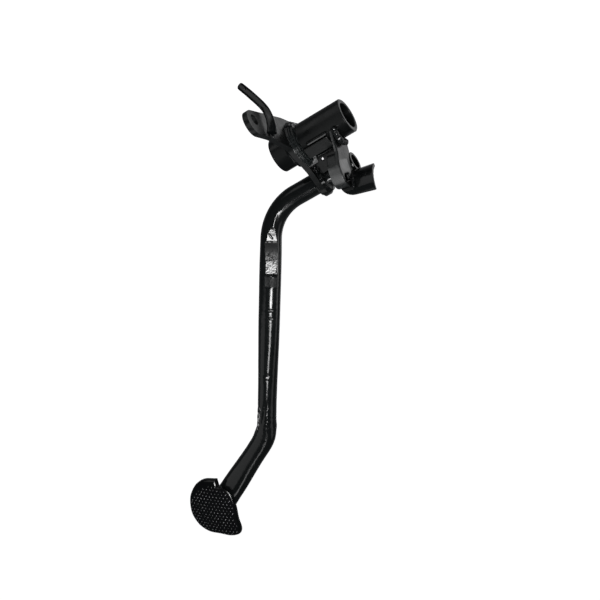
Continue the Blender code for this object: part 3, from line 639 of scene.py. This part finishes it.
def run_through(points, per_span):
    """Catmull-Rom run through points of any dimension."""
    run = []
    last = len(points) - 1
    for i in range(last):
        p = [Vector(points[min(max(i + k, 0), last)]) for k in (-1, 0, 1, 2)]
        for step in range(per_span):
            t = step / per_span
            run.append(0.5 * (2 * p[1] + (p[2] - p[0]) * t
                              + (2 * p[0] - 5 * p[1] + 4 * p[2] - p[3]) * t ** 2
                              + (3 * p[1] - p[0] - 3 * p[2] + p[3]) * t ** 3))
    run.append(Vector(points[last]))
    return run


def swept(rings, closed_ends=True):
    """Closed skin through rings of points given in the pedal's frame."""
    bm = bmesh.new()
    made = [[bm.verts.new(at(*p)) for p in ring] for ring in rings]
    count = len(rings[0])
    for one, two in zip(made, made[1:]):
        for k in range(count):
            n = (k + 1) % count
            bm.faces.new((one[k], one[n], two[n], two[k]))
    if closed_ends:
        bm.faces.new(made[0])
        bm.faces.new(made[-1])
    bmesh.ops.recalc_face_normals(bm, faces=bm.faces)
    return bm


def squarish(angle, power):
    """Point of a unit superellipse."""
    c, s = math.cos(angle), math.sin(angle)
    reach = (abs(c) ** power + abs(s) ** power) ** (-1 / power)
    return c * reach, s * reach


def hook_piece(paint):
    run = run_through([Vector(p) for p in HOOK_PATH], 9)
    rings = []
    for i, point in enumerate(run):
        place = Vector(point[:3])
        following, before = run[min(i + 1, len(run) - 1)], run[max(i - 1, 0)]
        ahead = (Vector(following[:3]) - Vector(before[:3])).normalized()
        face = Vector(HOOK_FACE)
        thin = (face - ahead * face.dot(ahead)).normalized()
        wide = ahead.cross(thin)
        left = len(run) - 1 - i
        shrink = math.sqrt(max(0.0, 1 - max(0.0, (9.0 - left) / 9.3) ** 2))
        ring = []
        for k in range(28):
            u, v = squarish(math.tau * k / 28, 2.5)
            spot = place + thin * u * point[4] / 2 * (0.55 + 0.45 * shrink)
            spot += wide * v * point[3] / 2 * shrink
            spot += (thin * u + wide * v) * (0.06 * grain(spot, 5.0, 3.0) + 0.03 * grain(spot, 1.8))
            ring.append(spot)
        rings.append(ring)
    hook = new_piece("spring_hook_bar", swept(rings), [paint], ["spring_hook"])
    drill = bmesh.new()
    bmesh.ops.create_cone(drill, cap_ends=True, segments=24, radius1=HOOK_HOLE_RADIUS * MM,
                          radius2=HOOK_HOLE_RADIUS * MM, depth=12 * MM)
    turn = Vector((0, 0, 1)).rotation_difference(Vector(HOOK_DRILL)).to_matrix().to_4x4()
    bmesh.ops.transform(drill, matrix=Matrix.Translation(at(*HOOK_HOLE)) @ turn, verts=drill.verts)
    return cut(hook, drill)


def cut(obj, tool):
    """Take the tool's solid out of the piece and keep the result as plain mesh."""
    mesh = bpy.data.meshes.new("tool")
    tool.to_mesh(mesh)
    tool.free()
    cutter = bpy.data.objects.new("tool", mesh)
    bpy.context.scene.collection.objects.link(cutter)
    boolean = obj.modifiers.new("cut", "BOOLEAN")
    boolean.operation = "DIFFERENCE"
    boolean.object = cutter
    bpy.context.view_layer.update()
    made = bpy.data.meshes.new_from_object(obj.evaluated_get(bpy.context.evaluated_depsgraph_get()))
    obj.modifiers.clear()
    obj.data = made
    bpy.data.objects.remove(cutter)
    return obj


# ---------------------------------------------------------------- weld beads

def ring_weld(name, node, tube_radius, leg, spread, face_x, inboard, middle, ridges, paint):
    """Fillet weld round a tube: ridges run with the tube's circle, crossed by soft ripples."""
    sign = -1 if inboard else 1
    base = face_x + sign * GAP * 0.2
    rings = []
    for i in range(220):
        turn = math.tau * i / 220
        ring = []
        pulse = 0.5 + 0.5 * math.sin(turn * 46 + 1.5 * math.sin(turn * 5))
        swell = 1 + 0.07 * math.sin(turn * 3 + 1) + 0.05 * math.sin(turn * 11)
        for k in range(25):
            a = math.radians(90 * k / 24)
            bulge = 1.0 + 0.045 * math.cos(a * 4 * ridges) + 0.02 * pulse
            climb = leg * swell * bulge * math.cos(a)
            out = spread * swell * bulge * math.sin(a)
            r = tube_radius + GAP * 0.2 + out
            ring.append(Vector((base + sign * climb, middle[0] + r * math.cos(turn),
                                middle[1] + r * math.sin(turn))))
        ring.append(Vector((base, middle[0] + (tube_radius + GAP * 0.2) * math.cos(turn),
                            middle[1] + (tube_radius + GAP * 0.2) * math.sin(turn))))
        for spot in ring[1:-1]:
            spot += Vector((sign, 0, 0)) * 0.05 * grain(spot, 1.1, 2.0)
        rings.append(ring)
    bm = swept([*rings, rings[0]], closed_ends=False)
    bmesh.ops.remove_doubles(bm, verts=bm.verts, dist=0.001 * MM)
    bmesh.ops.recalc_face_normals(bm, faces=bm.faces)
    return new_piece(name, bm, [paint], [node])


def run_weld(name, node, points, radius, paint, pitch=1.5, rough=0.12, power=2.0, flatten=1.0,
             up=Vector((0, 0, 1))):
    """Weld bead along a run of points, with crescent ripples and tapered ends."""
    line = run_through([Vector(p) for p in points], 8)
    distances = [0.0]
    for one, two in zip(line, line[1:]):
        distances.append(distances[-1] + (two - one).length)
    length = distances[-1]
    rings = []
    for i, (place, s) in enumerate(zip(line, distances)):
        ahead = (line[min(i + 1, len(line) - 1)] - line[max(i - 1, 0)]).normalized()
        side = ahead.cross(up).normalized()
        top = side.cross(ahead)
        end = min(s, length - s) / (radius * 1.1)
        taper = math.sqrt(max(0.02, 1 - max(0.0, 1 - end) ** 2))
        ring = []
        for k in range(20):
            a = math.tau * k / 20
            u, v = squarish(a, power)
            phase = s / pitch + 0.35 * math.cos(a) ** 2
            ripple = 1.0 - abs(2 * (phase - math.floor(phase)) - 1.0)
            reach = radius * taper * (1 + rough * (ripple - 0.5))
            spot = place + side * u * reach + top * v * reach * flatten
            spot += (side * u + top * v) * radius * rough * taper * grain(spot, radius * 0.9, 6.0)
            ring.append(spot)
        rings.append(ring)
    return new_piece(name, swept(rings), [paint], [node])


def on_arc(centre, radius, start, stop, count, x_at):
    """Points on an arc around a tube axis, with x as a function of y."""
    points = []
    for i in range(count):
        a = math.radians(start + (stop - start) * i / (count - 1))
        y = centre[0] + radius * math.cos(a)
        points.append((x_at(y), y, centre[1] + radius * math.sin(a)))
    return points


def web_x(y, outboard):
    """x of one face of the bracket's web, which stands at its toe angle."""
    depth = BRACKET_SHEET / math.cos(BRACKET_TOE) if outboard else 0.0
    return BRACKET_X + depth + (y - BRACKET_Y) * math.tan(BRACKET_TOE)


def from_bracket(x, y, z):
    """Pedal-frame place of a point in the bracket's frame."""
    turn = Matrix.Rotation(-BRACKET_TOE, 3, "Z")
    return turn @ Vector((x, y, z)) + Vector((BRACKET_X, BRACKET_Y, 0.0))


def weld_pieces(paint):
    beads = []
    far = LEVER_X + LEVER_THICKNESS
    tube = (0.0, 0.0)
    arm = (ARM_Y, ARM_Z)
    out = Vector((-1, 0, 0))
    for name, leg, spread, ridges in RING_WELDS:
        inboard = name.endswith("inboard")
        on_lever = name.startswith("lever")
        beads.append(ring_weld("bead_" + name, "weld_" + name,
                               PIVOT_OUTER if on_lever else ARM_OUTER, leg, spread,
                               LEVER_X if inboard else far, inboard, tube if on_lever else arm,
                               ridges, paint))
    run = on_arc(tube, *PIVOT_BEAD_ARC, 14, lambda y: web_x(y, False) - 2.64)
    beads.append(run_weld("bead_bracket_pivot", "weld_bracket_pivot", run, PIVOT_BEAD_RADIUS,
                          paint, pitch=2.1, rough=0.22, up=out))
    run = on_arc(arm, *ARM_BEAD_ARC, 6, lambda y: web_x(y, True) + 1.77)
    beads.append(run_weld("bead_bracket_arm", "weld_bracket_arm", run, THIN_BEAD_RADIUS, paint,
                          up=out))
    saddle = on_arc(SADDLE_CENTRE, *SADDLE_BEAD_ARC, 12, lambda y: -1.73)
    beads.append(run_weld("bead_bracket_saddle", "weld_bracket_saddle",
                          [from_bracket(*p) for p in saddle], THIN_BEAD_RADIUS, paint, up=out))
    y = GUSSET_BEAD_REACH * math.cos(GUSSET_BEAD_ANGLE)
    z = GUSSET_BEAD_REACH * math.sin(GUSSET_BEAD_ANGLE)
    run = [(15.6 + 1.34 * i, y, z) for i in range(14)]
    beads.append(run_weld("bead_gusset", "weld_gusset", run, GUSSET_BEAD_RADIUS, paint,
                          pitch=2.6, rough=0.05, power=3.4, up=GUSSET_BEAD_UP))
    y = TIE_ARM_BEAD_Y
    z = ARM_Z + math.sqrt(TIE_ARM_BEAD_REACH ** 2 - (y - ARM_Y) ** 2)
    run = [(22.5 + 1.6 * i, y, z) for i in range(10)]
    beads.append(run_weld("bead_tie_arm", "weld_tie_arm", run, TIE_BEAD_RADIUS, paint))
    run = [(LEVER_X - 1.6, 18.4 + 0.97 * i, -2.1) for i in range(8)]
    beads.append(run_weld("bead_tie_lever", "weld_tie_lever", run, TIE_BEAD_RADIUS, paint,
                          pitch=1.2))
    z = TIE_PIVOT_BEAD_Z
    y = math.sqrt(TIE_PIVOT_BEAD_REACH ** 2 - z ** 2)
    run = [(20 + 1.72 * i, y, z) for i in range(10)]
    beads.append(run_weld("bead_tie_pivot", "weld_tie_pivot", run, TIE_PIVOT_BEAD_RADIUS, paint))
    foot = Vector(HOOK_PATH[0][1:3])
    ahead = (Vector(HOOK_PATH[1][1:3]) - foot).normalized()
    below = Vector((-ahead.y, ahead.x))
    run = []
    for i in range(8):
        point = foot + ahead * (0.3 + 1.2 * i) + below * 4.64
        run.append((LEVER_X - 1.5, point.x, point.y))
    beads.append(run_weld("bead_hook", "weld_hook", run, HOOK_BEAD_RADIUS, paint, up=out))
    two, end = ARM_BENDS[-1], ARM_END
    ahead = (Vector(end) - Vector(two[:2])).normalized()
    side = Vector((-ahead.y, ahead.x))
    middle = Vector(end) + ahead * 1.6
    run = [(*(middle + side * (-8.0 + 2.0 * i)), -4.9) for i in range(9)]
    beads.append(run_weld("bead_pad", "weld_pad", run, PAD_BEAD_RADIUS, paint))
    return beads


# ---------------------------------------------------------------- CAD nodes that stay

def finish_node(name, material, edge):
    """Give a CAD node its paint, softened edges and even shading over its flat faces."""
    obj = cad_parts[name]
    obj.data.materials.clear()
    obj.data.materials.append(material)
    weld = obj.modifiers.new("weld", "WELD")
    weld.merge_threshold = 0.000004
    if name in SOFTENED:
        size, rounds = SOFTENED[name]
        grid = obj.modifiers.new("grid", "REMESH")
        grid.mode = "VOXEL"
        grid.voxel_size = size * MM
        grid.use_smooth_shade = True
        ease = obj.modifiers.new("ease", "SMOOTH")
        ease.factor = 0.5
        ease.iterations = rounds
        return obj
    bevel = obj.modifiers.new("edges", "BEVEL")
    bevel.width = edge * MM
    bevel.segments = 3
    bevel.limit_method = "ANGLE"
    bevel.angle_limit = math.radians(50)
    obj.data.shade_smooth()
    flat = obj.modifiers.new("flats", "WEIGHTED_NORMAL")
    flat.keep_sharp = False
    return obj


# ---------------------------------------------------------------- stage, light, camera

def camera_axes():
    """Right, up and back of the camera in the world."""
    back = Vector((-math.sin(TILT), 0.0, math.cos(TILT)))
    level = Vector((math.cos(TILT), 0.0, math.sin(TILT)))
    right = level * -math.cos(ROLL) + Vector((0, 1, 0)) * math.sin(ROLL)
    return right, back.cross(right), back


def make_camera():
    right, up, back = camera_axes()
    data = bpy.data.cameras.new("camera")
    data.lens = LENS
    data.sensor_width = 36.0
    data.clip_start = 0.01
    camera = bpy.data.objects.new("camera", data)
    camera.matrix_world = Matrix((
        (right.x, up.x, back.x, 0), (right.y, up.y, back.y, 0), (right.z, up.z, back.z, 0),
        (0, 0, 0, 1)))
    camera.location = AIM + back * DISTANCE
    bpy.context.scene.collection.objects.link(camera)
    bpy.context.scene.camera = camera


def light_only(light, name, pieces):
    """Keep a small studio light to the pieces it is meant for."""
    group = bpy.data.collections.new(name)
    for piece in pieces:
        group.objects.link(piece)
    light.light_linking.receiver_collection = group


def softbox(name, direction, distance, size, strength, aim, pieces=None):
    """Area light in a direction given along the camera's right, up and back."""
    right, up, back = camera_axes()
    way = (right * direction[0] + up * direction[1] + back * direction[2]).normalized()
    data = bpy.data.lights.new(name, "AREA")
    data.shape = "RECTANGLE"
    data.size, data.size_y = size
    data.energy = strength * size[0] * size[1] * math.pi
    light = bpy.data.objects.new(name, data)
    light.location = aim + way * distance
    y_axis = (up - way * up.dot(way)).normalized()
    x_axis = y_axis.cross(way)
    light.rotation_euler = Matrix((
        (x_axis.x, y_axis.x, way.x), (x_axis.y, y_axis.y, way.y), (x_axis.z, y_axis.z, way.z),
    )).to_euler()
    light.visible_camera = False
    bpy.context.scene.collection.objects.link(light)
    if pieces:
        light_only(light, name + "_pieces", pieces)


def card(name, aim, direction, distance, size, strength, pieces=None):
    """Square area light in a world direction from the point it faces."""
    way = Vector(direction).normalized()
    data = bpy.data.lights.new(name, "AREA")
    data.size = size
    data.energy = strength * size * size * math.pi
    light = bpy.data.objects.new(name, data)
    light.location = aim + way * distance
    light.rotation_euler = way.to_track_quat("Z", "Y").to_euler()
    light.visible_camera = False
    bpy.context.scene.collection.objects.link(light)
    if pieces:
        light_only(light, name + "_pieces", pieces)


def make_world():
    world = bpy.data.worlds.new("studio")
    bpy.context.scene.world = world
    world.use_nodes = True
    tree = world.node_tree
    background = tree.nodes["Background"]
    path = tree.nodes.new("ShaderNodeLightPath")
    mix = tree.nodes.new("ShaderNodeMix")
    mix.data_type = "RGBA"
    mix.inputs["B"].default_value = (1.0, 1.0, 1.0, 1.0)
    tree.links.new(path.outputs["Is Camera Ray"], mix.inputs["Factor"])
    # reflections at grazing angles pick up the pale paper behind the part
    place = tree.nodes.new("ShaderNodeTexCoord")
    dot = tree.nodes.new("ShaderNodeVectorMath")
    dot.operation = "DOT_PRODUCT"
    dot.inputs[1].default_value = camera_axes()[2]
    tree.links.new(place.outputs["Generated"], dot.inputs[0])
    behind = tree.nodes.new("ShaderNodeMapRange")
    behind.inputs["From Min"].default_value = -0.35
    behind.inputs["From Max"].default_value = -0.85
    tree.links.new(dot.outputs["Value"], behind.inputs["Value"])
    room = tree.nodes.new("ShaderNodeMix")
    room.data_type = "RGBA"
    room.inputs["A"].default_value = (0.030, 0.033, 0.036, 1.0)
    room.inputs["B"].default_value = (0.17, 0.175, 0.18, 1.0)
    tree.links.new(behind.outputs["Result"], room.inputs["Factor"])
    tree.links.new(room.outputs["Result"], mix.inputs["A"])
    tree.links.new(mix.outputs["Result"], background.inputs["Color"])


def make_floor():
    low = CAD_BOX[0]
    mesh = bpy.data.meshes.new("floor")
    reach = 6.0
    corners = [(-reach, -reach, 0), (reach, -reach, 0), (reach, reach, 0), (-reach, reach, 0)]
    mesh.from_pydata(corners, [], [(0, 1, 2, 3)])
    floor = bpy.data.objects.new("floor", mesh)
    floor.location.z = low.z - 0.002
    material = bpy.data.materials.new("pale_floor")
    material.use_nodes = True
    shader = material.node_tree.nodes["Principled BSDF"]
    shader.inputs["Base Color"].default_value = (0.9, 0.9, 0.9, 1.0)
    shader.inputs["Roughness"].default_value = 0.9
    shader.inputs["Specular IOR Level"].default_value = 0.0
    shader.inputs["Emission Color"].default_value = (1.0, 1.0, 1.0, 1.0)
    shader.inputs["Emission Strength"].default_value = 1.0
    mesh.materials.append(material)
    floor.visible_glossy = False
    floor.visible_diffuse = False
    bpy.context.scene.collection.objects.link(floor)


def make_lights(arm, pad_top, hook, beads):
    """Studio lights, most of them kept to the few pieces whose highlights they make."""
    head = at(30, 10, 0)
    middle = at(135, 100, -14)
    lower = at(190, 170, -14)
    first_bend = at(90, 42, -8)
    on_pad = at(*PAD_CENTRE, 0)
    near_bracket = at(18, 30, 10)
    from_below = (0.1, -0.62, 0.78)
    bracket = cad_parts["stop_bracket"]
    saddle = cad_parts["stop_saddle"]
    pressed = [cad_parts[name] for name in PRESSED]
    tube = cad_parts["pivot_tube"]
    nodes = [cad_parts[name] for name in STAYING]
    shell = [arm, *beads.values(), *nodes]
    others = [piece for piece in shell if piece not in (arm, tube)]
    softbox("key", (0.15, -0.31, 0.93), 0.9, (0.19, 0.40), 11.0, middle, shell)
    softbox("bend_key", (0.0, -0.62, 0.785), 0.2, (0.043, 0.032), 26.0, first_bend, [arm])
    softbox("left_card", (-0.88, -0.36, 0.32), 0.3, (0.3, 0.3), 0.45, at(200, 185, -14), [arm])
    softbox("right_card", (0.95, -0.26, 0.15), 1.0, (0.35, 0.9), 0.5, middle, [arm])
    softbox("streak", (0.05, -0.83, 0.56), 2.0, (0.24, 0.84), 2.6, lower, [arm])
    softbox("top_fill", (-0.45, 0.75, 0.45), 1.0, (0.9, 0.9), 0.45, middle)
    softbox("right_fill", (0.95, 0.1, 0.3), 1.0, (0.5, 0.8), 0.8, middle, [arm, hook, *others])
    card("under_card", head, (-0.39, 0.0, -0.92), 0.35, 0.5, 0.5)
    softbox("saddle_fill", (-0.2, -0.6, 0.77), 0.4, (0.5, 0.5), 0.45, at(10, 45, 0), [saddle])
    card("front_card", head, (0.39, 0.0, 0.92), 0.45, 0.26, 0.6, pressed)
    card("tube_card", head, (0.39, 0.0, 0.92), 0.45, 0.5, 0.2, [tube])
    softbox("bottom_fill", (-0.1, -0.97, 0.2), 0.6, (0.7, 0.4), 0.6, middle, others)
    softbox("gusset_card", (-0.08, -0.97, 0.22), 0.3, (0.2, 0.2), 1.8, at(24, 8, 14),
            [beads["bead_gusset"]])
    softbox("head_spot", from_below, 0.16, (0.05, 0.05), 2.2, head, others)
    softbox("ring_glints", from_below, 0.16, (0.05, 0.05), 36.0, head,
            [beads["bead_lever_inboard"]])
    softbox("bead_glints", (-0.15, -0.45, 0.88), 0.4, (0.12, 0.12), 24.0, head,
            [beads["bead_bracket_pivot"], beads["bead_hook"]])
    card("pocket_card", at(16.7, 33.0, 9.0), (-0.42, 0.0, -0.91), 0.008, 0.013, 0.6, [bracket])
    softbox("flange_card", (0.0, -0.85, 0.53), 0.06, (0.04, 0.05), 1.8, at(20, 30, 14), [bracket])
    softbox("bracket_wrap", (-0.3, -0.75, 0.6), 0.3, (0.4, 0.4), 0.9, near_bracket, [bracket])
    softbox("bracket_left", (-0.85, -0.4, 0.3), 0.3, (0.4, 0.4), 1.6, near_bracket, [bracket])
    softbox("crease_glint", (-0.9, 0.05, -0.35), 0.03, (0.01, 0.01), 3.0, at(180, 175, -8), [arm])
    softbox("hook_front", (0.62, -0.2, 0.75), 0.3, (0.24, 0.24), 0.7, at(41, -38, 45), [hook])
    softbox("hook_top", (0.05, 0.6, 0.8), 0.3, (0.24, 0.4), 0.6, at(38, -20, 42), [hook])
    softbox("pad_key", (0.06, 0.08, 1.0), 0.9, (0.32, 0.32), 30.0, on_pad, [pad_top])


# ---------------------------------------------------------------- build

gloss = black_paint("gloss_black", roughness=0.15)
satin = black_paint("pressed_black", roughness=0.3, wave=0.8)
weld = weld_paint("weld_black")
pad = pad_paint("pad_black")

arm = arm_piece(arm_paint("arm_black"))
pad_top = pad_piece(pad)
hook = hook_piece(gloss)
beads = weld_pieces(weld)
for node in STAYING:
    finish_node(node, gloss if node == "stop_saddle" else satin, EDGES.get(node, PLAIN_EDGE))

make_camera()
make_world()
make_floor()
make_lights(arm, pad_top, hook, {bead.name: bead for bead in beads})
bpy.context.scene.view_settings.view_transform = "Standard"
